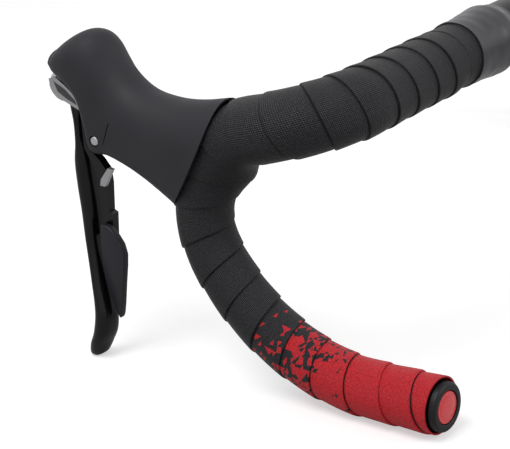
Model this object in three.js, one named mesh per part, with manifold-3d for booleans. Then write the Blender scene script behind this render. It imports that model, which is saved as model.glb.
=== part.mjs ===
// A road drop handlebar, taped and fitted with its two brake and shift levers, standing on the
// undersides of its drops and the tips of its levers. Millimetres, X to the rider's right, Y forward, Z up.
// The left half is modelled and the right half is its mirror image. Inside this file Y and Z are
// measured from the centre of the bar's straight top, and the X of a lever's part from its drop's plane.
import * as THREE from 'three';
import { mergeVertices } from 'three/addons/utils/BufferGeometryUtils.js';
import Module from 'manifold-3d';

const wasm = await Module();
wasm.setup();

const FIT_GAP = 0.3;              // clearance between pieces that touch

// Bar: a bent aluminium tube
const BAR_WIDTH = 420;            // between the centres of the two drops
const CLAMP_DIAMETER = 31.8;      // at the stem
const CLAMP_HALF_LENGTH = 62;     // straight oversize length to each side of the middle
const BAR_TAPER_LENGTH = 28;      // from the clamp diameter to the top diameter
const TOP_DIAMETER = 28.4;        // outside the oversize length
const GRIP_DIAMETER = 23.8;       // on the drops
const BAR_WALL = 2.0;
const CORNER_RADIUS = 33.6;       // bend from the top into the ramp
const RAMP_ANGLE = 15.2;          // fall of the ramp, degrees
const RAMP_LENGTH = 8;
const HOOK_RADII = [47, 48, 103.7];     // the drop's three arcs, from the ramp down
const HOOK_TURNS = [64.9, 41.7, 59.3];  // degrees turned by each
const DROP_END_LENGTH = 36;       // straight length at the bar's end
const BAR_SIDES = 12;
const BAR_STEP = 19;              // degrees of bend between its rings

// Tape: one ribbon wound from the bar's end to the top, each turn lapping the one before
const TAPE_PITCH = 19.5;          // on the drop
const TAPE_TOP_PITCH = 14.8;      // on the top and the ramp
const TAPE_LOW = 1.8;             // thickness where a turn dives under the next
const TAPE_HIGH = 2.6;            // thickness at a turn's lapped edge
const TAPE_PRESSED = 1.9;         // thickness under the finishing band
const TAPE_STEP_SHARE = 0.06;     // share of a turn taken by the step at its lapped edge
const TAPE_INNER_END = 66;        // from the middle of the bar
const TAPE_SIDES = 12;
const ELBOW_PAD = 2.4;            // extra wraps behind the lever's clamp
const ELBOW_PAD_PLACE = -10;      // from the start of the hook's first arc
const ELBOW_PAD_REACH = 38;
const ELBOW_BRIDGE = 7.0;         // tape bridging the inside of the corner
const ELBOW_BRIDGE_PLACE = 16;
const ELBOW_BRIDGE_REACH = 18;
const ELBOW_BRIDGE_DIRECTION = 150;
const CABLE_RIDGE = 1.5;          // low ridge under the tape along the top
const CABLE_RIDGE_DIRECTION = 240;

// Finishing band, over the tape's inner end
const BAND_INNER = 59;            // from the middle of the bar
const BAND_OUTER = 97;
const BAND_THICKNESS = 0.5;
const BAND_SLOPE = [0, 0.35, 0.7, 1];   // places of its rings on the slope down to the bar
const BAND_SIDES = 20;

// End plug
const PLUG_FLANGE_RADIUS = 12.0;
const PLUG_FLANGE_LENGTH = 3.8;
const PLUG_EDGE_ROUND = 1.6;
const PLUG_STEM_LENGTH = 20;
const PLUG_BORE_RADIUS = 5;
const PLUG_RECESS_RADIUS = 8.2;
const PLUG_RECESS_DEPTH = 1.6;
const PLUG_CAP_DOME = 0.5;
const PLUG_CAP_SHOULDER = [0.6, 0.7]; // share of the cap's radius, and of its dome's height there
const PLUG_SIDES = 18;

// Clamp that holds a lever to the bar, at a place along the hook's first arc
const BAND_CLAMP_PLACE = 36;
const BAND_CLAMP_WIDTH = 11;
const BAND_CLAMP_THICKNESS = 1.1;
const CLAMP_LUG_LENGTH = 8;
const CLAMP_LUG_RADIUS = 4.2;
const CLAMP_BOLT_RADIUS = 2.5;
const CLAMP_BOLT_LENGTH = 13;
const CLAMP_BOLT_HEAD_RADIUS = 3.9;
const CLAMP_BOLT_HEAD_LENGTH = 4.5;
const CLAMP_KEY_DEPTH = 3;
const BOLT_THREAD_GAP = 2 * FIT_GAP; // between the bolt's tip and the clamp's ring
const HEX_KEY = 4;

// Hood: a rubber cover. Each station has the foot and crown of a slanting section, its half width, how far
// its sides curl back, and the exponent that squares its lower half.
const HOOD_STATIONS = [
  { foot: [88, -54.5], crown: [55, 2.6], half: 18.8, curl: 6, heel: 2.4 },
  { foot: [96, -49.2], crown: [71, -0.6], half: 18.4, curl: 4, heel: 2.4 },
  { foot: [105, -43.6], crown: [85, -1.8], half: 17.6, curl: 2, heel: 2.6 },
  { foot: [115, -38.6], crown: [99.5, -0.6], half: 16.8, curl: 0, heel: 3 },
  { foot: [125.5, -34.4], crown: [109, 3], half: 16.4, curl: 0, heel: 4 },
  { foot: [134.6, -32.6], crown: [117, 9.7], half: 16.2, curl: 0, heel: 6 },
  { foot: [137.2, -20], crown: [123, 16.8], half: 16.2, curl: 0, heel: 6 },
  { foot: [140, -8.5], crown: [128, 23.4], half: 16.2, curl: 0, heel: 6 },
  { foot: [145.5, -2.4], crown: [133.2, 26.7], half: 15.8, curl: 0, heel: 5 },
  { foot: [152, 0.5], crown: [140.8, 26.5], half: 15, curl: 0, heel: 3.5 },
  { foot: [159, 3], crown: [149.8, 22], half: 12.8, curl: 0, heel: 2.8 },
  { foot: [164, 5.5], crown: [158.8, 15.4], half: 8.6, curl: 0, heel: 2.5 },
];
const HOOD_ROUNDNESS = 2.15;      // exponent that rounds a section's upper half
const HOOD_SIDES = 14;
const HOOD_WALL = 2.0;
const HOOD_HOLLOW_STATIONS = 10;  // the nose beyond them is solid rubber
const HOOD_MOUTH_OVERRUN = 6;

// Bracket inside the hood, from a share of the first hood station to a whole one
const BRACKET_START = 0.3;
const BRACKET_END = 8;
const HOOD_STATION_GAP = 8;       // usual distance between hood stations
const KEYWAY_LENGTH = 26;         // for the key that turns the clamp's bolt
const SLOT_HALF_WIDTH = 8.9;      // between the bracket's cheeks
const SLOT_PROFILE = [            // Y and Z of the space that the lever's root moves in
  [114, -64], [114, -20], [119, -9], [131, -2.5], [141, -2.5], [152, 2.4], [184, 2.4], [184, -64],
];

// Lever pivot and carrier
const PIVOT = [129, -25];
const PIN_RADIUS = 2.4;
const PIN_HALF_LENGTH = 15.4;
const CLIP_RADIUS = 3.8;
const CLIP_THICKNESS = 1.0;
const CARRIER_HALF_WIDTH = 5.4;
const CARRIER_PROFILE = [         // Y and Z
  [139, -5.5], [139, -31], [135, -35.5], [126, -35.5], [118.5, -31.5], [118.5, -24], [125, -15], [133, -5.5],
];
const ANCHOR_RADIUS = 2.6;        // barrel that holds the brake cable's end
const ANCHOR_PLACE = [122.4, -28.4];
const SPRING_WIRE = 0.8;
const SPRING_RADIUS = 3.9;
const SPRING_TURNS = 1.5;
const SPRING_PITCH = 0.9;

// Shift shaft, along Y: the paddle's arm turns on it, then the blade, and the plate caps its end
const SHAFT_HEIGHT = -9.5;
const SHAFT_RADIUS = 2.2;
const SHAFT_LENGTH = 27;
const SHAFT_IN_CARRIER = 5;
const ARM_HUB_RADIUS = 6.2;
const ARM_HUB_LENGTH = 4;

// Blade: each station has the front and back of a level section, its middle and half width
const BLADE_STATIONS = [
  { z: -5, front: 153.8, back: 144.6, middle: 0, half: 7.2 },
  { z: -12, front: 153, back: 143.7, middle: 0, half: 8.4 },
  { z: -20, front: 150.4, back: 143.7, middle: -1, half: 8.4 },
  { z: -30, front: 150, back: 143.7, middle: -1.8, half: 8.2 },
  { z: -41, front: 152, back: 142.6, middle: -2.6, half: 7.8 },
  { z: -54, front: 150.9, back: 141, middle: -3.8, half: 7.6 },
  { z: -66, front: 148.7, back: 139.8, middle: -5, half: 7.5 },
  { z: -80, front: 146.5, back: 139.2, middle: -6.6, half: 7.3 },
  { z: -94, front: 143.9, back: 137.2, middle: -8.4, half: 7.2 },
  { z: -104, front: 142.1, back: 135.4, middle: -9.8, half: 7.2 },
  { z: -113, front: 140.8, back: 133.2, middle: -11, half: 7.2 },
  { z: -121, front: 140.6, back: 131.6, middle: -12, half: 7.2 },
  { z: -130, front: 142.4, back: 132.2, middle: -12.6, half: 7.2 },
  { z: -137, front: 145.6, back: 135.6, middle: -12.6, half: 6.8 },
  { z: -142.8, front: 147.2, back: 139.2, middle: -12.2, half: 5.6 },
  { z: -144.8, front: 146, back: 141.8, middle: -11.8, half: 3.8 },
];
const BLADE_SQUARENESS = 2.3;
const BLADE_SIDES = 12;

// Metal plate on the lever's nose, as level sections
const PLATE_STATIONS = [
  { z: 2, front: 164.3, back: 155.6, middle: 0, half: 7.4 },
  { z: -2.5, front: 166.6, back: 155.6, middle: 0, half: 8.6 },
  { z: -7, front: 165.2, back: 155.6, middle: 0, half: 8.6 },
  { z: -10.5, front: 161.8, back: 155.6, middle: 0, half: 8 },
  { z: -12.8, front: 158.9, back: 155.6, middle: 0, half: 6.4 },
];
const PLATE_SQUARENESS = 2.8;
const PLATE_SIDES = 12;

// Release paddle behind the blade: Y and Z of its outline, and of its arm and link
const PADDLE_OUTLINE = [
  [133.8, -71], [135.2, -80], [135, -94], [134, -103], [131.6, -111], [128.3, -118.8],
  [126.6, -121.6], [125.4, -119], [124.2, -113.5], [122.4, -103], [120.3, -92], [119.5, -85.5], [120.9, -80],
  [124, -75.8], [128.6, -71.6],
];
const PADDLE_OUTER = -13;         // X of its outer face
const PADDLE_THICKNESS = 4.2;
const PADDLE_ROUND = 0.8;
const ARM_OUTLINE = [
  [139.3, -8], [143.3, -8], [143.3, -33], [138, -42], [135, -50], [135.2, -66], [135.2, -80],
  [129.4, -80], [128.2, -66], [130.4, -65], [129.2, -50], [129.8, -42.5], [133.8, -37.8], [139.3, -33.5],
];
const ARM_THICKNESS = 4.4;
const LINK_OUTLINE = [[123.2, -40.6], [126.2, -40.3], [131.6, -47], [132.4, -50.5], [129.2, -50.5]];
const LINK_THICKNESS = 2.2;

const { degToRad, lerp, smoothstep } = THREE.MathUtils;
const DROP_X = -BAR_WIDTH / 2;
const X_AXIS = new THREE.Vector3(1, 0, 0);
const Y_AXIS = new THREE.Vector3(0, 1, 0);
const Z_AXIS = new THREE.Vector3(0, 0, 1);

function finish(color, roughness, metalness) {
  return new THREE.MeshStandardMaterial({ color, roughness, metalness });
}

const anodised = finish(0x17171b, 0.42, 0.6);
const tapeCloth = finish(0x1d1d22, 0.85, 0);
const bandFilm = finish(0x25252b, 0.4, 0);
const plugPlastic = finish(0x121216, 0.5, 0);
const redPlastic = finish(0xc41f2c, 0.3, 0);
const hoodRubber = finish(0x2c2c31, 0.75, 0);
const bracketComposite = finish(0x1a1a1d, 0.6, 0);
const steel = finish(0xb9b9bd, 0.3, 1);
const leverPaint = finish(0x131317, 0.3, 0.3);
const plateMetal = finish(0xa9a9ab, 0.3, 0.9);
const paddlePlastic = finish(0x2a2a31, 0.45, 0);

// Geometry to solid and back, for cutting and joining
function solidOf(geometry) {
  const bare = new THREE.BufferGeometry();
  bare.setAttribute('position', geometry.getAttribute('position').clone());
  if (geometry.index) bare.setIndex(geometry.index.clone());
  const merged = mergeVertices(bare, 1e-3);
  const mesh = new wasm.Mesh({
    numProp: 3,
    vertProperties: merged.attributes.position.array,
    triVerts: new Uint32Array(merged.index.array),
  });
  return new wasm.Manifold(mesh);
}

function geometryOf(solid) {
  const mesh = solid.getMesh();
  const geometry = new THREE.BufferGeometry();
  geometry.setAttribute('position', new THREE.BufferAttribute(mesh.vertProperties, 3));
  geometry.setIndex(new THREE.BufferAttribute(mesh.triVerts, 1));
  return geometry;
}

// Geometry from points and faces, turned so that its faces point out
function outward(points, faces) {
  let volume = 0;
  for (const [a, b, c] of faces) {
    volume += points[a].dot(new THREE.Vector3().crossVectors(points[b], points[c]));
  }
  const index = faces.flatMap(([a, b, c]) => (volume < 0 ? [a, c, b] : [a, b, c]));
  const geometry = new THREE.BufferGeometry().setFromPoints(points);
  geometry.setIndex(index);
  return geometry;
}

// Skin over a row of rings that have the same count of points, closed by a flat face at each end
function loft(rings) {
  const count = rings[0].length;
  const faces = [];
  for (let i = 0; i + 1 < rings.length; i++) {
    for (let j = 0; j < count; j++) {
      const a = i * count + j;
      const b = i * count + (j + 1) % count;
      faces.push([a, b, b + count], [a, b + count, a + count]);
    }
  }
  const last = (rings.length - 1) * count;
  for (let j = 1; j + 1 < count; j++) {
    faces.push([0, j + 1, j], [last, last + j, last + j + 1]);
  }
  return outward(rings.flat(), faces);
}

// Round bar between two points; a pin, a bore or, with six sides, a hexagon
function rod(start, end, radius, sides = 14) {
  const along = end.clone().sub(start);
  const geometry = new THREE.CylinderGeometry(radius, radius, along.length(), sides);
  geometry.applyQuaternion(new THREE.Quaternion().setFromUnitVectors(Y_AXIS, along.clone().normalize()));
  return geometry.translate(...start.clone().add(end).divideScalar(2));
}

function rodAcross([y, z], from, to, radius, sides) {
  return rod(atLever(from, y, z), atLever(to, y, z), radius, sides);
}

// Flat plate from an outline of Y and Z, between two X in the lever's frame
function slab(outline, from, to, round = 0) {
  const shape = new THREE.Shape(outline.map(([y, z]) => new THREE.Vector2(y, z)));
  const geometry = new THREE.ExtrudeGeometry(shape, {
    depth: to - from - 2 * round,
    bevelEnabled: round > 0,
    bevelThickness: round,
    bevelSize: round,
    bevelOffset: -round,
    bevelSegments: 2,
  });
  geometry.applyMatrix4(new THREE.Matrix4().makeBasis(Y_AXIS, Z_AXIS, X_AXIS));
  return geometry.translate(DROP_X + from + round, 0, 0);
}

// Block, as large as the bar is wide, that reaches away from a point in one direction
function farSide(point, direction) {
  const size = BAR_WIDTH;
  const geometry = new THREE.BoxGeometry(size, size, size).translate(0, 0, size / 2);
  geometry.applyQuaternion(new THREE.Quaternion().setFromUnitVectors(Z_AXIS, direction));
  return solidOf(geometry.translate(point.x, point.y, point.z));
}

function atLever(x, y, z) {
  return new THREE.Vector3(DROP_X + x, y, z);
}

// Squared-off circle: the two coordinates at an angle, for the given half sizes
function superellipse(angle, halfA, halfB, exponent) {
  const power = (value) => Math.sign(value) * Math.abs(value) ** (2 / exponent);
  return [halfA * power(Math.cos(angle)), halfB * power(Math.sin(angle))];
}

// The bar's centre line, from the middle of the bar to the end of the left drop
function makeBarPath() {
  const ramp = degToRad(RAMP_ANGLE);
  const cornerAxis = new THREE.Vector3(0, -Math.sin(ramp), -Math.cos(ramp));
  const hookAxis = new THREE.Vector3(-1, 0, 0);
  const pieces = [
    { length: BAR_WIDTH / 2 - CORNER_RADIUS, turn: 0 },
    { length: CORNER_RADIUS * Math.PI / 2, turn: Math.PI / 2, axis: cornerAxis },
    { length: RAMP_LENGTH, turn: 0 },
    ...HOOK_RADII.map((radius, i) => {
      const turn = degToRad(HOOK_TURNS[i]);
      return { length: radius * turn, turn, axis: hookAxis };
    }),
    { length: DROP_END_LENGTH, turn: 0 },
  ];
  let start = 0;
  let frame = { point: new THREE.Vector3(), along: new THREE.Vector3(-1, 0, 0), up: Z_AXIS };
  for (const piece of pieces) {
    piece.start = start;
    piece.frame = frame;
    frame = frameWithin(piece, piece.length);
    start += piece.length;
  }
  return pieces;
}

function frameWithin(piece, distance) {
  const { point, along, up } = piece.frame;
  if (!piece.turn) {
    return { point: point.clone().addScaledVector(along, distance), along, up };
  }
  const angle = piece.turn * distance / piece.length;
  const radius = piece.length / piece.turn;
  const inward = new THREE.Vector3().crossVectors(piece.axis, along);
  return {
    point: point.clone()
      .addScaledVector(along, radius * Math.sin(angle))
      .addScaledVector(inward, radius * (1 - Math.cos(angle))),
    along: along.clone().applyAxisAngle(piece.axis, angle),
    up: up.clone().applyAxisAngle(piece.axis, angle),
  };
}

const barPieces = makeBarPath();
const [, CORNER_START, RAMP_START, HOOK_START] = barPieces.map((piece) => piece.start);
const BAR_END = barPieces.at(-1).start + DROP_END_LENGTH;

function barFrame(s) {
  const piece = barPieces.findLast(({ start }) => s >= start) ?? barPieces[0];
  return frameWithin(piece, s - piece.start);
}

// A point at a distance along the bar, at an angle from its upper side towards the front, and a radius
function onBar(s, angle, radius) {
  const { point, along, up } = barFrame(s);
  const side = new THREE.Vector3().crossVectors(along, up);
  return point.clone()
    .addScaledVector(up, radius * Math.cos(angle))
    .addScaledVector(side, radius * Math.sin(angle));
}

function barRadius(s) {
  const oversize = 1 - smoothstep(s, CLAMP_HALF_LENGTH, CLAMP_HALF_LENGTH + BAR_TAPER_LENGTH);
  const narrow = smoothstep(s, CORNER_START, RAMP_START);
  return lerp(lerp(TOP_DIAMETER, CLAMP_DIAMETER, oversize), GRIP_DIAMETER, narrow) / 2;
}

function ringOnBar(s, offset) {
  const radius = barRadius(s) + offset;
  return Array.from({ length: BAR_SIDES }, (_, j) => onBar(s, j * 2 * Math.PI / BAR_SIDES, radius));
}

// Places of the bar's rings, close together on the bends
function barStations() {
  const stations = [0, CLAMP_HALF_LENGTH, CLAMP_HALF_LENGTH + BAR_TAPER_LENGTH / 2,
    CLAMP_HALF_LENGTH + BAR_TAPER_LENGTH];
  for (const { start, length, turn } of barPieces.slice(1)) {
    const steps = Math.max(1, Math.round(turn / degToRad(BAR_STEP)));
    for (let k = 0; k < steps; k++) stations.push(start + length * k / steps);
  }
  return [...stations, BAR_END];
}

const STATIONS = barStations();

// Solid round the bar's centre line, at a distance outside the bar, between two places along it
function sleeve(offset, from, to) {
  const inside = STATIONS.filter((s) => s > from + FIT_GAP && s < to - FIT_GAP);
  return solidOf(loft([from, ...inside, to].map((s) => ringOnBar(s, offset))));
}

function makeHandlebar() {
  const whole = (offset, overrun) => {
    const places = [...STATIONS.slice(0, -1), BAR_END + overrun];
    const left = places.map((s) => ringOnBar(s, offset));
    const right = left.slice(1).map((ring) => ring.map(({ x, y, z }) => new THREE.Vector3(-x, y, z)));
    return solidOf(loft([...left.reverse(), ...right]));
  };
  return geometryOf(whole(0, 0).subtract(whole(-BAR_WALL, 1)));
}

// Thickness of the wound tape. A turn grows from its buried edge (share 0) to its lapped edge (share 1).
function tapeThickness(s, angle, share) {
  const free = smoothstep(s, BAND_OUTER + TAPE_PITCH / 2, BAND_OUTER + TAPE_PITCH);
  const wound = lerp(TAPE_PRESSED, lerp(TAPE_LOW, TAPE_HIGH, share), free);
  const near = (place, reach) => Math.exp(-(((s - HOOK_START - place) / reach) ** 2));
  const padding = ELBOW_PAD * near(ELBOW_PAD_PLACE, ELBOW_PAD_REACH);
  const bridging = Math.max(0, Math.cos(angle - degToRad(ELBOW_BRIDGE_DIRECTION))) ** 2;
  const onTop = free * (1 - smoothstep(s, CORNER_START, RAMP_START));
  const ridge = Math.max(0, Math.cos(angle - degToRad(CABLE_RIDGE_DIRECTION))) ** 4;
  const bridge = ELBOW_BRIDGE * bridging * near(ELBOW_BRIDGE_PLACE, ELBOW_BRIDGE_REACH);
  return wound + padding + bridge + CABLE_RIDGE * onTop * ridge;
}

// Place along the bar after a count of turns, from two turns inside the tape's inner end
function windPlace(turns) {
  const first = TAPE_INNER_END - 2 * TAPE_TOP_PITCH;
  const topTurns = (HOOK_START - first) / TAPE_TOP_PITCH;
  return first + TAPE_TOP_PITCH * Math.min(turns, topTurns) + TAPE_PITCH * Math.max(0, turns - topTurns);
}

// The wound ribbon as a solid, grown by a clearance. Its rows follow the winding, so that each lapped
// edge is one clean step, and a fan to the centre line closes each end outside the tape's length.
function windTape(growth) {
  const shares = [0, 1];
  const topTurns = (HOOK_START - windPlace(0)) / TAPE_TOP_PITCH;
  const turns = Math.ceil(topTurns + (BAR_END - HOOK_START) / TAPE_PITCH) + 1;
  const rows = turns * shares.length;
  const points = [];
  for (let row = 0; row < rows; row++) {
    const share = shares[row % shares.length];
    const turn = Math.floor(row / shares.length) + share * (1 - TAPE_STEP_SHARE);
    for (let j = 0; j < TAPE_SIDES; j++) {
      const s = windPlace(turn + j / TAPE_SIDES);
      const angle = j * 2 * Math.PI / TAPE_SIDES;
      points.push(onBar(s, angle, barRadius(s) + tapeThickness(s, angle, share) + growth));
    }
  }
  const corner = (row, j) => (j < TAPE_SIDES ? row * TAPE_SIDES + j : (row + shares.length) * TAPE_SIDES);
  const faces = [];
  for (let row = 0; row + 1 < rows; row++) {
    const whole = row + 1 + shares.length < rows;
    for (let j = 0; j < (whole ? TAPE_SIDES : TAPE_SIDES - 1); j++) {
      const [a, b, c, d] = [corner(row, j), corner(row, j + 1), corner(row + 1, j + 1), corner(row + 1, j)];
      faces.push([a, b, c], [a, c, d]);
    }
  }
  const across = Array.from({ length: TAPE_SIDES }, (_, j) => j);
  const steps = shares.map((_, i) => i + 1);
  const startLoop = [...across.map((j) => corner(0, j)), ...steps.toReversed().map((row) => corner(row, 0))];
  const endLoop = [...across.map((j) => corner(rows - 1, j)),
    ...steps.map((back) => corner(rows - 1 - back, TAPE_SIDES - 1))];
  closeLoop(points, faces, startLoop, onBar(windPlace(0.5), 0, 0), true);
  closeLoop(points, faces, endLoop, onBar(windPlace(turns + 0.5), 0, 0), false);
  return solidOf(outward(points, faces));
}

function closeLoop(points, faces, loop, centre, flip) {
  const tip = points.push(centre) - 1;
  loop.forEach((a, i) => {
    const b = loop[(i + 1) % loop.length];
    faces.push(flip ? [tip, b, a] : [tip, a, b]);
  });
}

function makeTape() {
  const end = barFrame(BAR_END);
  const wound = windTape(0)
    .subtract(sleeve(FIT_GAP, 0, BAR_END + 3 * TAPE_PITCH))
    .subtract(farSide(new THREE.Vector3(-TAPE_INNER_END, 0, 0), X_AXIS))
    .subtract(farSide(end.point, end.along))
    .subtract(clampBandShape(FIT_GAP))
    .subtract(bracketShape(0));
  return geometryOf(wound);
}

// Band of film that holds the tape's inner end, stepping down onto the bar
function makeFinishingBand() {
  const overBar = (x) => barRadius(x) + FIT_GAP;
  const overTape = (x) => barRadius(x) + TAPE_PRESSED + FIT_GAP;
  const step = TAPE_INNER_END - FIT_GAP;
  const onTaper = CLAMP_HALF_LENGTH + BAR_TAPER_LENGTH / 2;
  const outer = [
    [BAND_INNER, overBar(BAND_INNER)],
    ...BAND_SLOPE.map((t) => [lerp(BAND_INNER + 2 * BAND_THICKNESS, TAPE_INNER_END, t),
      lerp(overBar(BAND_INNER), overTape(TAPE_INNER_END), Math.sin(t * Math.PI / 2)) + BAND_THICKNESS]),
    [onTaper, overTape(onTaper) + BAND_THICKNESS],
    [BAND_OUTER, overTape(BAND_OUTER) + BAND_THICKNESS],
  ];
  const inner = [
    [BAND_OUTER, overTape(BAND_OUTER)],
    [onTaper, overTape(onTaper)],
    [step, overTape(step)],
    [step, overBar(step)],
    [BAND_INNER, overBar(BAND_INNER)],
  ];
  const profile = [...outer, ...inner].map(([x, r]) => new THREE.Vector2(r, x));
  return new THREE.LatheGeometry(profile, BAND_SIDES).rotateZ(Math.PI / 2);
}

// Solid of revolution on the axis of the bar's end; heights are measured out of the bar
function onBarEnd(profile) {
  const { point, along } = barFrame(BAR_END);
  const geometry = new THREE.LatheGeometry(profile.map(([r, h]) => new THREE.Vector2(r, h)), PLUG_SIDES);
  geometry.applyQuaternion(new THREE.Quaternion().setFromUnitVectors(Y_AXIS, along));
  return geometry.translate(point.x, point.y, point.z);
}

function makeEndPlug() {
  const stem = (GRIP_DIAMETER / 2 - BAR_WALL) * Math.cos(Math.PI / BAR_SIDES) - FIT_GAP;
  const outer = FIT_GAP + PLUG_FLANGE_LENGTH;
  const floor = outer - PLUG_RECESS_DEPTH;
  const edge = [0, 0.5, 1].map((t) => {
    const angle = t * Math.PI / 2;
    return [PLUG_FLANGE_RADIUS - PLUG_EDGE_ROUND * (1 - Math.cos(angle)),
      outer - PLUG_EDGE_ROUND * (1 - Math.sin(angle))];
  });
  return onBarEnd([
    [0, 0], [PLUG_BORE_RADIUS, 0], [PLUG_BORE_RADIUS, -PLUG_STEM_LENGTH], [stem, -PLUG_STEM_LENGTH],
    [stem, FIT_GAP], [PLUG_FLANGE_RADIUS, FIT_GAP], ...edge,
    [PLUG_RECESS_RADIUS, outer], [PLUG_RECESS_RADIUS, floor], [0, floor],
  ]);
}

function makePlugCap() {
  const radius = PLUG_RECESS_RADIUS - FIT_GAP;
  const floor = FIT_GAP + PLUG_FLANGE_LENGTH - PLUG_RECESS_DEPTH + FIT_GAP;
  const rim = floor + (PLUG_RECESS_DEPTH - FIT_GAP) / 2;
  const [across, rise] = PLUG_CAP_SHOULDER;
  return onBarEnd([[0, floor], [radius, floor], [radius, rim],
    [radius * across, rim + PLUG_CAP_DOME * rise], [0, rim + PLUG_CAP_DOME]]);
}

const CLAMP_PLACE_ON_BAR = HOOK_START + BAND_CLAMP_PLACE;

function onClampAxis(distance) {
  return onBar(CLAMP_PLACE_ON_BAR, 0, distance);
}

// Distances from the bar's centre line, along the clamp's axis
function clampHeights() {
  const ringInside = barRadius(CLAMP_PLACE_ON_BAR) + FIT_GAP;
  const ringOutside = ringInside + BAND_CLAMP_THICKNESS;
  const boltTip = ringOutside + BOLT_THREAD_GAP;
  const headBase = boltTip + CLAMP_BOLT_LENGTH;
  return { ringInside, ringOutside, boltTip, headBase, headTop: headBase + CLAMP_BOLT_HEAD_LENGTH };
}

// Ring of the lever's clamp round the bar, with the lug that its bolt screws into
function clampBandShape(growth) {
  const { ringInside, ringOutside } = clampHeights();
  const halfWidth = BAND_CLAMP_WIDTH / 2 + growth;
  const ring = sleeve(FIT_GAP + BAND_CLAMP_THICKNESS + growth, CLAMP_PLACE_ON_BAR - halfWidth,
    CLAMP_PLACE_ON_BAR + halfWidth);
  const lug = rod(onClampAxis(ringInside + BAND_CLAMP_THICKNESS / 2),
    onClampAxis(ringOutside + CLAMP_LUG_LENGTH + growth), CLAMP_LUG_RADIUS + growth);
  return ring.add(solidOf(lug));
}

function makeClampBand() {
  const { ringOutside, headBase } = clampHeights();
  const bore = rod(onClampAxis(ringOutside + FIT_GAP), onClampAxis(headBase), CLAMP_BOLT_RADIUS + FIT_GAP);
  return geometryOf(clampBandShape(0)
    .subtract(sleeve(FIT_GAP, CLAMP_PLACE_ON_BAR - BAND_CLAMP_WIDTH, CLAMP_PLACE_ON_BAR + BAND_CLAMP_WIDTH))
    .subtract(solidOf(bore)));
}

// The shank runs into the head as far as the key's socket leaves metal
function clampBoltShape(growth) {
  const { boltTip, headBase, headTop } = clampHeights();
  const shankTop = (headBase + headTop - CLAMP_KEY_DEPTH) / 2;
  const shank = rod(onClampAxis(boltTip), onClampAxis(shankTop), CLAMP_BOLT_RADIUS + growth);
  const cap = rod(onClampAxis(headBase - growth), onClampAxis(headTop), CLAMP_BOLT_HEAD_RADIUS + growth);
  return solidOf(shank).add(solidOf(cap));
}

function makeClampBolt() {
  const { headTop } = clampHeights();
  const socket = rod(onClampAxis(headTop - CLAMP_KEY_DEPTH), onClampAxis(headTop + FIT_GAP),
    HEX_KEY / Math.sqrt(3), 6);
  return geometryOf(clampBoltShape(0).subtract(solidOf(socket)));
}

// A hood section, moved in from the surface by an inset; a whole place is a station, a share lies between two
function hoodRing(place, inset) {
  const low = Math.min(Math.max(Math.floor(place), 0), HOOD_STATIONS.length - 2);
  const [a, b] = [HOOD_STATIONS[low], HOOD_STATIONS[low + 1]];
  const blend = (p, q) => p + (q - p) * (place - low);
  const foot = new THREE.Vector2(blend(a.foot[0], b.foot[0]), blend(a.foot[1], b.foot[1]));
  const crown = new THREE.Vector2(blend(a.crown[0], b.crown[0]), blend(a.crown[1], b.crown[1]));
  const middle = foot.clone().add(crown).divideScalar(2);
  const rise = crown.clone().sub(foot).normalize();
  const halfRise = foot.distanceTo(crown) / 2 - inset;
  const halfWidth = blend(a.half, b.half) - inset;
  const curl = blend(a.curl, b.curl);
  const heel = blend(a.heel, b.heel);
  return Array.from({ length: HOOD_SIDES }, (_, j) => {
    const angle = 2 * Math.PI * (j + 0.5) / HOOD_SIDES;
    const exponent = Math.cos(angle) < 0 ? heel : HOOD_ROUNDNESS;
    const [up, out] = superellipse(angle, halfRise, halfWidth, exponent);
    const back = curl * (out / halfWidth) ** 2;
    return atLever(out, middle.x + rise.x * up - rise.y * back, middle.y + rise.y * up + rise.x * back);
  });
}

function hoodShape(inset, from, to) {
  const places = [from];
  for (let place = Math.floor(from) + 1; place < to; place++) places.push(place);
  return solidOf(loft([...places, to].map((place) => hoodRing(place, inset))));
}

function leverSlot(growth) {
  return solidOf(slab(SLOT_PROFILE, -SLOT_HALF_WIDTH - growth, SLOT_HALF_WIDTH + growth));
}

function makeHood() {
  const mouth = -HOOD_MOUTH_OVERRUN / HOOD_STATIONS[0].half;
  const cavity = hoodShape(HOOD_WALL, mouth, HOOD_HOLLOW_STATIONS - 1);
  return geometryOf(hoodShape(0, 0, HOOD_STATIONS.length - 1)
    .subtract(cavity)
    .subtract(windTape(FIT_GAP))
    .subtract(leverSlot(FIT_GAP))
    .subtract(pinHole()));
}

// Hole for the pin, through both sides of the hood and the bracket
function pinHole() {
  const reach = 2 * PIN_HALF_LENGTH;
  return solidOf(rodAcross(PIVOT, -reach, reach, PIN_RADIUS + FIT_GAP));
}

function bracketShape(inset) {
  return hoodShape(HOOD_WALL + inset, BRACKET_START + inset / HOOD_STATION_GAP, BRACKET_END);
}

function makeBracket() {
  const { headTop } = clampHeights();
  const keyway = rod(onClampAxis(headTop - FIT_GAP), onClampAxis(headTop + KEYWAY_LENGTH),
    CLAMP_BOLT_HEAD_RADIUS + FIT_GAP);
  return geometryOf(bracketShape(FIT_GAP)
    .subtract(sleeve(FIT_GAP, HOOK_START - RAMP_LENGTH, HOOK_START + 3 * BAND_CLAMP_PLACE))
    .subtract(clampBandShape(FIT_GAP))
    .subtract(clampBoltShape(FIT_GAP))
    .subtract(solidOf(keyway))
    .subtract(leverSlot(0))
    .subtract(pinHole()));
}

function makePivotPin() {
  return rodAcross(PIVOT, -PIN_HALF_LENGTH, PIN_HALF_LENGTH, PIN_RADIUS);
}

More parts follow.
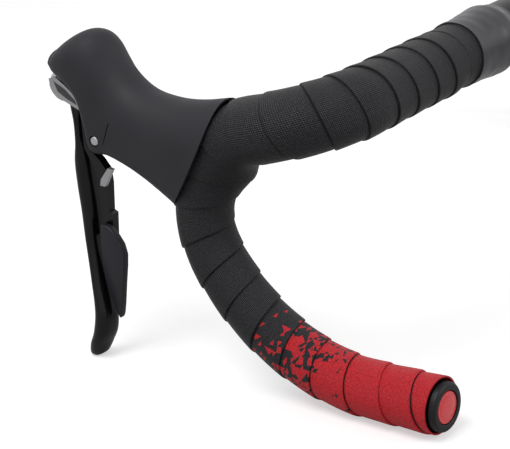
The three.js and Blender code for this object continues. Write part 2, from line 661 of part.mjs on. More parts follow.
function makePivotClip() {
  const from = CARRIER_HALF_WIDTH + FIT_GAP;
  const disc = rodAcross(PIVOT, from, from + CLIP_THICKNESS, CLIP_RADIUS);
  const bore = rodAcross(PIVOT, from - 1, from + CLIP_THICKNESS + 1, PIN_RADIUS + FIT_GAP);
  return geometryOf(solidOf(disc).subtract(solidOf(bore)));
}

// Carrier: turns on the pin and holds the shift shaft and the brake cable's anchor
function makeCarrier() {
  const half = CARRIER_HALF_WIDTH;
  return geometryOf(solidOf(slab(CARRIER_PROFILE, -half, half))
    .subtract(solidOf(rodAcross(PIVOT, -2 * half, 2 * half, PIN_RADIUS + FIT_GAP)))
    .subtract(solidOf(rodAcross(ANCHOR_PLACE, -2 * half, 2 * half, ANCHOR_RADIUS + FIT_GAP)))
    .subtract(shiftShaftShape(FIT_GAP)));
}

function makeAnchor() {
  return rodAcross(ANCHOR_PLACE, -CARRIER_HALF_WIDTH, CARRIER_HALF_WIDTH, ANCHOR_RADIUS);
}

function shiftShaftShape(growth) {
  const front = Math.max(...CARRIER_PROFILE.map(([y]) => y));
  const start = front - SHAFT_IN_CARRIER - growth;
  const end = front - SHAFT_IN_CARRIER + SHAFT_LENGTH + growth;
  return solidOf(rod(atLever(0, start, SHAFT_HEIGHT), atLever(0, end, SHAFT_HEIGHT), SHAFT_RADIUS + growth));
}

// Torsion spring round the pin, between the carrier and the bracket's cheek
function makeReturnSpring() {
  const [y, z] = PIVOT;
  const steps = 20;
  const startX = -CARRIER_HALF_WIDTH - FIT_GAP - SPRING_WIRE / 2;
  const path = new THREE.CatmullRomCurve3(Array.from({ length: steps + 1 }, (_, i) => {
    const turn = SPRING_TURNS * i / steps;
    const angle = turn * 2 * Math.PI;
    return atLever(startX - turn * SPRING_PITCH, y + SPRING_RADIUS * Math.cos(angle),
      z + SPRING_RADIUS * Math.sin(angle));
  }));
  const section = new THREE.Shape().absarc(0, 0, SPRING_WIRE / 2, 0, 2 * Math.PI);
  return new THREE.ExtrudeGeometry(section, { extrudePath: path, steps, curveSegments: 3 });
}

// Solid over level sections of the lever
function levelLoft(stations, squareness, sides) {
  return solidOf(loft(stations.map(({ z, front, back, middle, half }) =>
    Array.from({ length: sides }, (_, j) => {
      const angle = 2 * Math.PI * (j + 0.5) / sides;
      const [forward, out] = superellipse(angle, (front - back) / 2, half, squareness);
      return atLever(middle + out, (front + back) / 2 + forward, z);
    }))));
}

function makeBlade() {
  return geometryOf(levelLoft(BLADE_STATIONS, BLADE_SQUARENESS, BLADE_SIDES)
    .subtract(shiftShaftShape(FIT_GAP)));
}

function makePlate() {
  return geometryOf(levelLoft(PLATE_STATIONS, PLATE_SQUARENESS, PLATE_SIDES)
    .subtract(shiftShaftShape(FIT_GAP)));
}

// Arm that hangs from the shift shaft behind the blade and carries the release paddle
function makePaddleArm() {
  const outer = PADDLE_OUTER + PADDLE_THICKNESS + FIT_GAP;
  const back = Math.max(...CARRIER_PROFILE.map(([y]) => y)) + FIT_GAP;
  const hub = rod(atLever(0, back, SHAFT_HEIGHT), atLever(0, back + ARM_HUB_LENGTH, SHAFT_HEIGHT),
    ARM_HUB_RADIUS);
  return geometryOf(solidOf(slab(ARM_OUTLINE, outer, outer + ARM_THICKNESS))
    .add(solidOf(hub))
    .subtract(shiftShaftShape(FIT_GAP)));
}

function makeReleasePaddle() {
  return slab(PADDLE_OUTLINE, PADDLE_OUTER, PADDLE_OUTER + PADDLE_THICKNESS, PADDLE_ROUND);
}

function makePaddleLink() {
  const inner = PADDLE_OUTER + PADDLE_THICKNESS;
  return slab(LINK_OUTLINE, inner - LINK_THICKNESS, inner);
}

const SIDE_PIECES = [
  ['bar_tape', makeTape, tapeCloth],
  ['finishing_band', makeFinishingBand, bandFilm],
  ['end_plug', makeEndPlug, plugPlastic],
  ['end_plug_cap', makePlugCap, redPlastic],
  ['clamp_band', makeClampBand, steel],
  ['clamp_bolt', makeClampBolt, steel],
  ['lever_bracket', makeBracket, bracketComposite],
  ['lever_hood', makeHood, hoodRubber],
  ['pivot_pin', makePivotPin, steel],
  ['pivot_clip', makePivotClip, steel],
  ['lever_carrier', makeCarrier, steel],
  ['cable_anchor', makeAnchor, steel],
  ['return_spring', makeReturnSpring, steel],
  ['shift_shaft', () => geometryOf(shiftShaftShape(0)), steel],
  ['brake_blade', makeBlade, leverPaint],
  ['name_plate', makePlate, plateMetal],
  ['paddle_arm', makePaddleArm, bracketComposite],
  ['paddle_link', makePaddleLink, steel],
  ['release_paddle', makeReleasePaddle, paddlePlastic],
];

function named(name, geometry, material) {
  const mesh = new THREE.Mesh(geometry, material);
  mesh.name = name;
  return mesh;
}

const handlebar = new THREE.Group();
handlebar.add(named('handlebar', makeHandlebar(), anodised));
const leftSide = new THREE.Group();
const rightSide = new THREE.Group();
rightSide.scale.x = -1;
for (const [name, make, material] of SIDE_PIECES) {
  const geometry = make();
  leftSide.add(named(`${name}_left`, geometry, material));
  rightSide.add(named(`${name}_right`, geometry, material));
}
handlebar.add(leftSide, rightSide);

// Stand the whole on Z = 0, with the middle of its box over the origin
const box = new THREE.Box3().setFromObject(handlebar);
const middle = box.getCenter(new THREE.Vector3());
handlebar.position.set(0, -middle.y, -box.min.z);

export default handlebar;
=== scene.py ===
# %% [markdown]
# # A taped road handlebar
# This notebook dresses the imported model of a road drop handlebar. On the real object a thin aluminium
# tube is wound with a ribbon of tape, and a brake and shift lever under a rubber hood sits on each bend.
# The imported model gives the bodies, the joints and the main sizes. Each step makes one piece or one
# finish: the left side is modelled, and the right side is its mirror image.

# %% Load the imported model
import math

import bpy
from mathutils import Matrix, Vector


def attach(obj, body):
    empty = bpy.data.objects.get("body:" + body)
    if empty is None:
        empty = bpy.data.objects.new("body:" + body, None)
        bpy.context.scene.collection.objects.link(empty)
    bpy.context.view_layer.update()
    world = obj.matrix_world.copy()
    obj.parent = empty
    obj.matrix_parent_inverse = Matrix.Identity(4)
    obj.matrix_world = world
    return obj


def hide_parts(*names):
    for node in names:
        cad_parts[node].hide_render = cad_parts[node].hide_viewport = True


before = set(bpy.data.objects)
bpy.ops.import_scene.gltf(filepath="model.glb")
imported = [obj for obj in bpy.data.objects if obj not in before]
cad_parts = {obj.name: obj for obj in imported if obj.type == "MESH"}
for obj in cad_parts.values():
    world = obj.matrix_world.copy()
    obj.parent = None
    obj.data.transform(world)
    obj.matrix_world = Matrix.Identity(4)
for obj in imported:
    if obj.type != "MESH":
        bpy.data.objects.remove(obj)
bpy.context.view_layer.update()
print("packed nodes:", len(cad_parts))

# %% [markdown]
# ## Measures
# The bar's drawing is in millimetres from the centre of its straight top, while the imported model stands
# on the floor. Lengths from the drawing are kept as they are, and one function takes a point from the
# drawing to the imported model, in metres.

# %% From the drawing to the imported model
MM = 0.001
BAR_CENTRE = Vector((0, -51.840, 144.800))
DROP_X = -210


def placed(x, y, z):
    return (Vector((x, y, z)) + BAR_CENTRE) * MM


def at_lever(x, y, z):
    return placed(DROP_X + x, y, z)


# %% [markdown]
# ## The camera
# The photograph was taken from above and outside the left drop, close enough that the near drop looks
# larger than the far top. A long lens from about 0.8 m gives the same lines. The camera's own axes are
# worked out from its azimuth, height and tilt, and the long side of the picture sets the focal length.

# %% Camera
VIEW_AZIMUTH = math.radians(-50.901)
VIEW_ELEVATION = math.radians(21.126)
VIEW_ROLL = math.radians(-4.166)
VIEW_DISTANCE = 825.139
VIEW_TARGET = placed(-263.67, 0, -32.259)
IMAGE_WIDTH = 510
FOCAL_PIXELS = 1878.663
SENSOR_WIDTH = 36                 # mm

back = Vector((math.sin(VIEW_AZIMUTH) * math.cos(VIEW_ELEVATION),
               -math.cos(VIEW_AZIMUTH) * math.cos(VIEW_ELEVATION),
               math.sin(VIEW_ELEVATION)))
level_right = Vector((math.cos(VIEW_AZIMUTH), math.sin(VIEW_AZIMUTH), 0))
level_up = back.cross(level_right)
right = level_right * math.cos(VIEW_ROLL) + level_up * math.sin(VIEW_ROLL)
up = level_up * math.cos(VIEW_ROLL) - level_right * math.sin(VIEW_ROLL)

camera_data = bpy.data.cameras.new("camera")
camera = bpy.data.objects.new("camera", camera_data)
bpy.context.scene.collection.objects.link(camera)
camera.matrix_world = Matrix((
    (right.x, up.x, back.x, 0),
    (right.y, up.y, back.y, 0),
    (right.z, up.z, back.z, 0),
    (0, 0, 0, 1),
))
camera.location = VIEW_TARGET + back * VIEW_DISTANCE * MM
camera_data.sensor_width = SENSOR_WIDTH
camera_data.lens = SENSOR_WIDTH * FOCAL_PIXELS / IMAGE_WIDTH
bpy.context.scene.camera = camera
print("focal length, mm:", round(camera_data.lens, 1))

# %% [markdown]
# ## Helpers for materials
# Colours are written as the hex values that a paint chip would show, and Blender wants linear light, so
# one function converts them. One more adds a node and fills its inputs, from values or other nodes.


# %% Colours and nodes
def linear(code):
    channels = [int(code[i:i + 2], 16) / 255 for i in (1, 3, 5)]
    return [c / 12.92 if c <= 0.04045 else ((c + 0.055) / 1.055) ** 2.4 for c in channels] + [1.0]


def add_node(tree, kind, inputs=None, **settings):
    node = tree.nodes.new(kind)
    for name, value in settings.items():
        setattr(node, name, value)
    for name, value in (inputs or {}).items():
        if isinstance(value, bpy.types.NodeSocket):
            tree.links.new(value, node.inputs[name])
        else:
            node.inputs[name].default_value = value
    return node


def new_material(name, colour, roughness, metallic=0.0):
    material = bpy.data.materials.new(name)
    material.use_nodes = True
    shader = material.node_tree.nodes["Principled BSDF"]
    shader.inputs["Base Color"].default_value = linear(colour)
    shader.inputs["Roughness"].default_value = roughness
    shader.inputs["Metallic"].default_value = metallic
    return material, material.node_tree, shader


# %% [markdown]
# ## Moulded rubber
# The hood is thermoplastic rubber from a spark-eroded mould: its skin is matte and very finely pitted,
# which spreads each highlight into a broad soft sheen. Fine noise gives the pits, and a slow noise
# makes the sheen uneven where hands have polished it.

# %% Hood rubber
RUBBER_PIT = 0.35                 # mm; a real pit is about a quarter of this, too fine to show
GRAIN_DEPTH = 0.2                 # mm
POLISH_SCALE = 45.0               # one metre divided by the size of a polished patch
RUBBER_TONES = ((0.3, "#1f1f23"), (0.7, "#27272c"))
SATIN_SPECULAR = 0.25             # black parts reflect less than a plain dielectric would

rubber, tree, shader = new_material("moulded_tpe_rubber", "#27272b", 0.62)
shader.inputs["IOR"].default_value = 1.5
shader.inputs["Specular IOR Level"].default_value = SATIN_SPECULAR
where = add_node(tree, "ShaderNodeTexCoord")
pits = add_node(tree, "ShaderNodeTexNoise", {
    "Vector": where.outputs["Object"], "Scale": 1 / (RUBBER_PIT * MM), "Detail": 2.0, "Roughness": 0.6})
polish = add_node(tree, "ShaderNodeTexNoise", {
    "Vector": where.outputs["Object"], "Scale": POLISH_SCALE, "Detail": 3.0})
worn = add_node(tree, "ShaderNodeMapRange", {
    "Value": polish.outputs["Fac"], "From Min": 0.35, "From Max": 0.65, "To Min": 0.54, "To Max": 0.68})
tree.links.new(worn.outputs["Result"], shader.inputs["Roughness"])
relief = add_node(tree, "ShaderNodeBump", {
    "Height": pits.outputs["Fac"], "Strength": 0.22, "Distance": GRAIN_DEPTH * MM})
tree.links.new(relief.outputs["Normal"], shader.inputs["Normal"])
tone = add_node(tree, "ShaderNodeValToRGB", {"Fac": polish.outputs["Fac"]})
for element, (position, code) in zip(tone.color_ramp.elements, RUBBER_TONES):
    element.position = position
    element.color = linear(code)
tree.links.new(tone.outputs["Color"], shader.inputs["Base Color"])

# %% [markdown]
# ## Printed and embossed tape
# Bar tape is a foam ribbon with a thin polyurethane skin. The skin is embossed with a fine diagonal
# weave, whose bumps catch the light as speckles, and it is printed red at one end and black at the
# other, with angular flecks where they meet. The pattern follows the ribbon, so it reads the tape's own
# UV map in metres: U along the ribbon and V across it. A second map holds where a turn starts on the bar.

# %% Tape skin
WEAVE_PITCH = 1.25                # mm between threads; a real one is nearer 0.8
THREAD_SLANT = 0.7071             # a diagonal thread's share of U and of V
WEAVE_SHARE = 0.45                # how much of the relief is weave, next to the crumb of the skin
CRUMB_SIZE = 1.1                  # mm
WEAVE_DEPTH = 0.4                 # mm
TAPE_SPECULAR = 0.22

tape_skin, tree, shader = new_material("embossed_polyurethane_tape", "#1c1c20", 0.5)
shader.inputs["Specular IOR Level"].default_value = TAPE_SPECULAR
ribbon = add_node(tree, "ShaderNodeUVMap", uv_map="ribbon")
along_bar = add_node(tree, "ShaderNodeUVMap", uv_map="along_bar")
in_threads = add_node(tree, "ShaderNodeVectorMath", {0: ribbon.outputs["UV"]}, operation="SCALE")
in_threads.inputs["Scale"].default_value = 2 * math.pi / (WEAVE_PITCH * MM)
thread = add_node(tree, "ShaderNodeSeparateXYZ", {"Vector": in_threads.outputs["Vector"]})
waves = []
for way in ("ADD", "SUBTRACT"):
    slanted = add_node(tree, "ShaderNodeMath", {0: thread.outputs["X"], 1: thread.outputs["Y"]},
                       operation=way)
    phase = add_node(tree, "ShaderNodeMath", {0: slanted.outputs[0], 1: THREAD_SLANT}, operation="MULTIPLY")
    wave = add_node(tree, "ShaderNodeMath", {0: phase.outputs[0]}, operation="SINE")
    waves.append(wave.outputs[0])
bumps = add_node(tree, "ShaderNodeMath", {0: waves[0], 1: waves[1]}, operation="MULTIPLY")
crumb = add_node(tree, "ShaderNodeTexNoise", {
    "Vector": ribbon.outputs["UV"], "Scale": 1 / (CRUMB_SIZE * MM), "Detail": 3.0, "Roughness": 0.65})
height = add_node(tree, "ShaderNodeMath", {0: bumps.outputs[0], 1: WEAVE_SHARE, 2: crumb.outputs["Fac"]},
                  operation="MULTIPLY_ADD")
relief = add_node(tree, "ShaderNodeBump", {
    "Height": height.outputs[0], "Strength": 0.75, "Distance": WEAVE_DEPTH * MM})
tree.links.new(relief.outputs["Normal"], shader.inputs["Normal"])

# %% [markdown]
# The flecks are small triangles on a slanted grid. Each triangle gets one random number, and it is red
# where that number is under a limit that grows from the black end to the red end. A second, finer grid
# is drawn by the same rule, and the tape is red where either one is.

# %% Flecks between black and red
FLECK_SIZE = 4.6                  # mm
# Size in mm, slant in radians, shift
FLECK_GRIDS = ((FLECK_SIZE, 0.55, 0.0), (FLECK_SIZE * 0.58, -0.35, 0.37))
RED_FROM = 410                    # mm along the bar: a turn that starts here is all red
BLACK_TO = 340                    # mm along the bar: a turn that starts here is all black
FADE_POWER = 3.0                  # most of the red comes late
# The black follows the weave's height: the tops of the bumps are painted lighter, as painted glints
BLACK_AND_GLINT_TONES = ((0.62, "#08080a"), (0.92, "#424248"))
RED_TONES = ((0.35, "#9c0f1a"), (0.75, "#cf2a33"))

start_of_turn = add_node(tree, "ShaderNodeSeparateXYZ", {"Vector": along_bar.outputs["UV"]})
redness = add_node(tree, "ShaderNodeMapRange", {
    "Value": start_of_turn.outputs["X"], "From Min": BLACK_TO * MM, "From Max": RED_FROM * MM,
    "To Min": 0.0, "To Max": 1.0})
limit = add_node(tree, "ShaderNodeMath", {0: redness.outputs["Result"], 1: FADE_POWER}, operation="POWER")
red_marks = []
for size, slant, shift in FLECK_GRIDS:
    turned = add_node(tree, "ShaderNodeMapping", {
        "Vector": ribbon.outputs["UV"], "Rotation": (0, 0, slant), "Location": (shift, shift * 0.6, 0)})
    scaled = add_node(tree, "ShaderNodeVectorMath", {0: turned.outputs["Vector"]}, operation="SCALE")
    scaled.inputs["Scale"].default_value = 1 / (size * MM)
    cell = add_node(tree, "ShaderNodeSeparateXYZ", {"Vector": scaled.outputs["Vector"]})
    diagonal = add_node(tree, "ShaderNodeMath", {0: cell.outputs["X"], 1: cell.outputs["Y"]}, operation="ADD")
    corners = [add_node(tree, "ShaderNodeMath", {0: value}, operation="FLOOR").outputs[0]
               for value in (cell.outputs["X"], cell.outputs["Y"], diagonal.outputs[0])]
    joined = add_node(tree, "ShaderNodeCombineXYZ", {"X": corners[0], "Y": corners[1], "Z": corners[2]})
    lot = add_node(tree, "ShaderNodeTexWhiteNoise", {"Vector": joined.outputs["Vector"]},
                   noise_dimensions="3D")
    drawn = add_node(tree, "ShaderNodeMath", {0: lot.outputs["Value"], 1: limit.outputs[0]},
                     operation="LESS_THAN")
    red_marks.append(drawn.outputs[0])
either = add_node(tree, "ShaderNodeMath", {0: red_marks[0], 1: red_marks[1]}, operation="MAXIMUM")
printed = add_node(tree, "ShaderNodeMix", {"Factor": either.outputs[0]}, data_type="RGBA")
# Black is the print with painted glints on the bump tops, from the weave's height; red follows the crumb
for socket, source, tones in ((6, height.outputs[0], BLACK_AND_GLINT_TONES), (7, crumb.outputs["Fac"], RED_TONES)):
    print_and_glint_colour = add_node(tree, "ShaderNodeValToRGB", {"Fac": source})
    for element, (position, code) in zip(print_and_glint_colour.color_ramp.elements, tones):
        element.position = position
        element.color = linear(code)
    tree.links.new(print_and_glint_colour.outputs["Color"], printed.inputs[socket])

# %% [markdown]
# A painted shadow runs along each seam, on the turn below and next to the edge that laps it, as the
# shade of the step. It is darkest against the edge, which is where V is nought.

# %% Painted seam shadows and sheen
SEAM_LINE = 0.7                   # mm of painted seam shadow, from the edge of the turn that laps this one
SEAM_CORE = 0.1                   # mm of it that is fully dark
# Colour of the painted shadow in each seam, near black
SEAM_SHADE_COLOUR = "#060607"

across = add_node(tree, "ShaderNodeSeparateXYZ", {"Vector": ribbon.outputs["UV"]})
# Painted shade: full next to the lapping edge and gone 0.7 mm from it
seam_shadow_mask = add_node(tree, "ShaderNodeMapRange", {
    "Value": across.outputs["Y"], "From Min": SEAM_CORE * MM, "From Max": SEAM_LINE * MM,
    "To Min": 1.0, "To Max": 0.0})
painted_seam_shade = add_node(tree, "ShaderNodeMix", {"Factor": seam_shadow_mask.outputs["Result"]}, data_type="RGBA")
painted_seam_shade.inputs[7].default_value = linear(SEAM_SHADE_COLOUR)
tree.links.new(printed.outputs[2], painted_seam_shade.inputs[6])
tree.links.new(painted_seam_shade.outputs[2], shader.inputs["Base Color"])
matte = add_node(tree, "ShaderNodeMapRange", {
    "Value": crumb.outputs["Fac"], "From Min": 0.3, "From Max": 0.7, "To Min": 0.38, "To Max": 0.55})
tree.links.new(matte.outputs["Result"], shader.inputs["Roughness"])

# %% [markdown]
# ## Paint, film, plastics and metal
# These finishes are smoother. The lever is painted gloss black, the finishing film is satin vinyl, the
# plug and paddle are moulded nylon, and the metals are brushed or plated. Only the plug's red disc has a
# clear coat. Each finish gets a fine grain of its own in colour, roughness and relief.

# %% Other finishes
GRAINS = {
    # name: colour, roughness, metallic, grain size in mm, relief, spread of roughness
    "gloss_black_paint": ("#060608", 0.2, 0.0, 0.9, 0.02, 0.05),
    "satin_grey_paint": ("#39393a", 0.3, 0.3, 0.5, 0.05, 0.06),
    "satin_vinyl_film": ("#222228", 0.34, 0.0, 2.5, 0.08, 0.1),
    "moulded_black_nylon": ("#0b0b0d", 0.45, 0.0, 0.3, 0.12, 0.08),
    "moulded_grey_nylon": ("#1c1c22", 0.42, 0.0, 0.3, 0.1, 0.08),
    "gloss_red_abs": ("#c80e1b", 0.16, 0.0, 1.2, 0.02, 0.04),
    "anodised_aluminium": ("#1b1b1f", 0.38, 0.85, 0.25, 0.06, 0.1),
    "satin_nickel_plate": ("#a2a2a4", 0.3, 1.0, 0.25, 0.04, 0.1),
    "zinc_plated_steel": ("#b4b4b6", 0.34, 1.0, 0.4, 0.05, 0.12),
}
GRAIN_TONES = ((0.3, 0.9), (0.7, 1.1))          # place in the grain, gain on the colour

finishes = {"moulded_tpe_rubber": rubber, "embossed_polyurethane_tape": tape_skin}
for name, (colour, roughness, metallic, grain, depth, spread) in GRAINS.items():
    material, tree, shader = new_material(name, colour, roughness, metallic)
    where = add_node(tree, "ShaderNodeTexCoord")
    grain_noise = add_node(tree, "ShaderNodeTexNoise", {
        "Vector": where.outputs["Object"], "Scale": 1 / (grain * MM), "Detail": 4.0})
    uneven = add_node(tree, "ShaderNodeMapRange", {
        "Value": grain_noise.outputs["Fac"], "From Min": 0.3, "From Max": 0.7,
        "To Min": roughness - spread / 2, "To Max": roughness + spread / 2})
    tree.links.new(uneven.outputs["Result"], shader.inputs["Roughness"])
    relief = add_node(tree, "ShaderNodeBump", {
        "Height": grain_noise.outputs["Fac"], "Strength": depth, "Distance": GRAIN_DEPTH * MM})
    tree.links.new(relief.outputs["Normal"], shader.inputs["Normal"])
    tone = add_node(tree, "ShaderNodeValToRGB", {"Fac": grain_noise.outputs["Fac"]})
    for element, (position, gain) in zip(tone.color_ramp.elements, GRAIN_TONES):
        element.position = position
        element.color = [min(1, channel * gain) for channel in linear(colour)[:3]] + [1]
    tree.links.new(tone.outputs["Color"], shader.inputs["Base Color"])
    if name in ("gloss_black_paint", "moulded_black_nylon", "moulded_grey_nylon"):
        shader.inputs["Specular IOR Level"].default_value = SATIN_SPECULAR
    if name == "gloss_red_abs":
        shader.inputs["Coat Weight"].default_value = 0.4
    finishes[name] = material
print("finishes:", len(finishes))

# %% [markdown]
# ## The bar's centre line
# The tube is straight in the middle, bends forward into a short ramp, and then turns down and back
# through three arcs into the drop. Walking along these pieces gives, at any distance, a point, the
# direction of the tube and its upper side. The tape and the bar are both built on this line.

# %% Centre line
RAMP_ANGLE = math.radians(15.2)
CORNER_RADIUS = 33.6
RAMP_LENGTH = 8
STRAIGHT_LENGTH = 210 - CORNER_RADIUS
HOOK_ARCS = [(47, 64.9), (48, 41.7), (103.7, 59.3)]    # radius in mm, turn in degrees
DROP_END_LENGTH = 36

corner_axis = Vector((0, -math.sin(RAMP_ANGLE), -math.cos(RAMP_ANGLE)))
hook_axis = Vector((-1, 0, 0))
line_pieces = [(STRAIGHT_LENGTH, 0.0, None),
               (CORNER_RADIUS * math.pi / 2, math.pi / 2, corner_axis),
               (RAMP_LENGTH, 0.0, None)]
line_pieces += [(radius * math.radians(bend), math.radians(bend), hook_axis) for radius, bend in HOOK_ARCS]
line_pieces += [(DROP_END_LENGTH, 0.0, None)]


def walk(start, length, bend, axis, distance):
    point, along, upper = start
    if not bend:
        return point + along * distance, along, upper
    angle = bend * distance / length
    radius = length / bend
    inward = axis.cross(along)
    rotation = Matrix.Rotation(angle, 3, axis)
    moved = point + along * radius * math.sin(angle) + inward * radius * (1 - math.cos(angle))
    return moved, rotation @ along, rotation @ upper


centre_line = []
begin = 0.0
here = (Vector((0, 0, 0)), Vector((-1, 0, 0)), Vector((0, 0, 1)))
for length, bend, axis in line_pieces:
    centre_line.append((begin, length, bend, axis, here))
    here = walk(here, length, bend, axis, length)
    begin += length
BAR_END = begin
CORNER_START, RAMP_START, HOOK_START = [piece[0] for piece in centre_line[1:4]]


def bar_frame(distance):
    """The point, direction and upper side of the bar's line, at a distance from its middle."""
    reached = [piece for piece in centre_line if distance >= piece[0]]
    begin, length, bend, axis, start = reached[-1] if reached else centre_line[0]
    return walk(start, length, bend, axis, distance - begin)


def on_bar(distance, angle, radius):
    point, along, upper = bar_frame(distance)
    side = along.cross(upper)
    spot = point + upper * radius * math.cos(angle) + side * radius * math.sin(angle)
    return placed(*spot)


print("bar length from the middle, mm:", round(BAR_END, 1))

# %% [markdown]
# ## Helpers for meshes
# Most pieces are skins over a row of rings. A flat grid is added, its points are moved to the rings, and
# the row at each end is drawn to one point. Merging the doubles then closes the seam and both ends.

# %% Rings to mesh
MERGE_DISTANCE = 0.002            # mm


def only(piece):
    if bpy.context.object and bpy.context.object.mode != "OBJECT":
        bpy.ops.object.mode_set(mode="OBJECT")
    bpy.ops.object.select_all(action="DESELECT")
    piece.select_set(True)
    bpy.context.view_layer.objects.active = piece


def add_grid(name, columns, rows):
    bpy.ops.object.select_all(action="DESELECT")
    bpy.ops.mesh.primitive_grid_add(x_subdivisions=columns, y_subdivisions=rows, size=1)
    piece = bpy.context.object
    piece.name = name
    piece.data.name = name
    return piece


def tidy_mesh(piece):
    only(piece)
    bpy.ops.object.mode_set(mode="EDIT")
    bpy.ops.mesh.select_all(action="SELECT")
    bpy.ops.mesh.remove_doubles(threshold=MERGE_DISTANCE * MM)
    bpy.ops.mesh.dissolve_degenerate(threshold=MERGE_DISTANCE * MM)
    bpy.ops.mesh.select_all(action="SELECT")
    bpy.ops.mesh.normals_make_consistent(inside=False)
    bpy.ops.object.mode_set(mode="OBJECT")


def lofted(name, rings, smooth=40):
    sides = len(rings[0])
    ends = [sum(ring, Vector()) / sides for ring in (rings[0], rings[-1])]
    rows = [[ends[0]] * sides] + rings + [[ends[1]] * sides]
    piece = add_grid(name, sides, len(rows) - 1)
    for vertex in piece.data.vertices:
        column = round((vertex.co.x + 0.5) * sides) % sides
        row = round((vertex.co.y + 0.5) * (len(rows) - 1))
        vertex.co = rows[row][column]
    tidy_mesh(piece)
    bpy.ops.object.shade_smooth_by_angle(angle=math.radians(smooth))
    return piece


def spline(values, place):
    """A smooth value between the numbers in a row, at a place counted in steps."""
    low = min(max(math.floor(place), 0), len(values) - 2)
    t = place - low
    p1, p2 = values[low], values[low + 1]
    p0 = values[low - 1] if low > 0 else 2 * p1 - p2
    p3 = values[low + 2] if low + 2 < len(values) else 2 * p2 - p1
    if t < 0:
        return p1 + (p2 - p1) * t
    return (p1 + 0.5 * t * (p2 - p0 + t * (2 * p0 - 5 * p1 + 4 * p2 - p3 + t * (3 * (p1 - p2) + p3 - p0))))


def squared_circle(angle, half_a, half_b, exponent):
    power = 2 / exponent
    a = math.copysign(abs(math.cos(angle)) ** power, math.cos(angle))
    b = math.copysign(abs(math.sin(angle)) ** power, math.sin(angle))
    return half_a * a, half_b * b


def steps(start, end, count):
    return [start + (end - start) * i / count for i in range(count + 1)]


# %% [markdown]
# The slots and flat parts start from an outline. A circle with as many corners is added, its corners are
# moved to the outline, the face is filled, and an extrusion gives it thickness.


# %% Outline to solid
def extruded(name, outline, start, end):
    bpy.ops.object.select_all(action="DESELECT")
    bpy.ops.mesh.primitive_circle_add(vertices=len(outline), radius=1, fill_type="NGON")
    piece = bpy.context.object
    piece.name = name
    piece.data.name = name
    for vertex, (y, z) in zip(piece.data.vertices, outline):
        vertex.co = at_lever(start, y, z)
    bpy.ops.object.mode_set(mode="EDIT")
    bpy.ops.mesh.select_all(action="SELECT")
    bpy.ops.mesh.extrude_region_move(TRANSFORM_OT_translate={"value": ((end - start) * MM, 0, 0)})
    bpy.ops.mesh.select_all(action="SELECT")
    bpy.ops.mesh.normals_make_consistent(inside=False)
    bpy.ops.object.mode_set(mode="OBJECT")
    return piece


def apply_modifier(piece, kind, **settings):
    modifier = piece.modifiers.new(kind.lower(), kind)
    for name, value in settings.items():
        setattr(modifier, name, value)
    only(piece)
    bpy.ops.object.modifier_apply(modifier=modifier.name)


def cut(piece, cutter):
    apply_modifier(piece, "BOOLEAN", operation="DIFFERENCE", object=cutter, solver="EXACT")
    bpy.data.objects.remove(cutter)


# %% [markdown]
# A finished left piece is copied to the right: the copy's points are mirrored, which turns its faces
# inside out, so they are flipped back. Each piece names its finish, its body and the node it stands for.


# %% Both sides
def dress(piece, finish, body, node):
    piece.data.materials.clear()
    piece.data.materials.append(finishes[finish])
    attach(piece, body)
    if node:
        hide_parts(node)


def both_sides(piece, stem, finish, body, node):
    """body and node have a gap for the word left or right."""
    piece.name = f"{stem}_left"
    twin = bpy.data.objects.new(f"{stem}_right", piece.data.copy())
    bpy.context.scene.collection.objects.link(twin)
    twin.data.transform(Matrix.Scale(-1, 4, Vector((1, 0, 0))))
    twin.data.flip_normals()
    for side, copy in (("left", piece), ("right", twin)):
        copy.data.name = copy.name
        dress(copy, finish, body.format(side), node.format(side) if node else None)
    return piece, twin


# %% [markdown]
# ## The bare tube
# Only its middle shows, between the two finishing bands. It is a smooth tube that swells to the stem's
# size, so rings are set along the line and the radius changes with an S-shaped step.

# %% Handlebar
CLAMP_RADIUS, TOP_RADIUS, GRIP_RADIUS = 15.9, 14.2, 11.9
CLAMP_HALF_LENGTH = 62
BAR_TAPER_LENGTH = 28
BAR_SIDES = 48
BAR_RINGS = 110                   # steps from the middle to one end


def s_step(value, low, high):
    t = min(max((value - low) / (high - low), 0), 1)
    return t * t * (3 - 2 * t)


def bar_radius(distance):
    oversize = 1 - s_step(distance, CLAMP_HALF_LENGTH, CLAMP_HALF_LENGTH + BAR_TAPER_LENGTH)
    narrow = s_step(distance, CORNER_START, RAMP_START)
    wide = TOP_RADIUS + (CLAMP_RADIUS - TOP_RADIUS) * oversize
    return wide + (GRIP_RADIUS - wide) * narrow


def mirrored_x(point):
    return Vector((-point.x, point.y, point.z))


left_rings = [[on_bar(s, 2 * math.pi * j / BAR_SIDES, bar_radius(s)) for j in range(BAR_SIDES)]
              for s in steps(0, BAR_END, BAR_RINGS)]
right_rings = [[mirrored_x(p) for p in ring] for ring in left_rings[1:]]
tube = lofted("bare_tube", left_rings[::-1] + right_rings)
dress(tube, "anodised_aluminium", "bar", "handlebar")

# %% [markdown]
# ## The wound tape
# The tape is one ribbon that winds from the bar's end to the top. Each turn covers the edge of the one
# before it, so its own edge stands up as a small step that faces the plug. A grid is wound round the
# line: its long way turns round the tube, and its short way runs from the buried edge to the lapped one,
# where the last rows round over and dive. The ribbon is padded under the hood, bridges the inside of the
# elbow like a web and has a ridge over the cables. Solidify then gives it its thickness.

# %% Ribbon
TAPE_PITCH = 19.5                 # usual advance in one turn
TAPE_LOW, TAPE_HIGH, TAPE_PRESSED = 1.8, 2.6, 1.9
TAPE_SKIN = 0.8                   # mm of ribbon that is modelled
TAPE_INNER_END = 66
TAPE_TURNS = 26
BAND_OUTER = 97
RIBBON_STEPS = 52                 # in one turn
# Turns counted from the tape's inner end, and the place along the bar that each one reaches. A tape that
# is wound by hand advances unevenly.
WINDING = [(0, 35.6), (3.985, 95), (4.985, 111.5), (5.985, 126.5), (6.985, 142.5), (7.985, 161),
           (8.985, 178), (9.985, 192.5), (10.985, 206), (21.735, 402.8), (22.735, 422.9), (23.735, 443.3),
           (24.735, 461), (27, 505)]
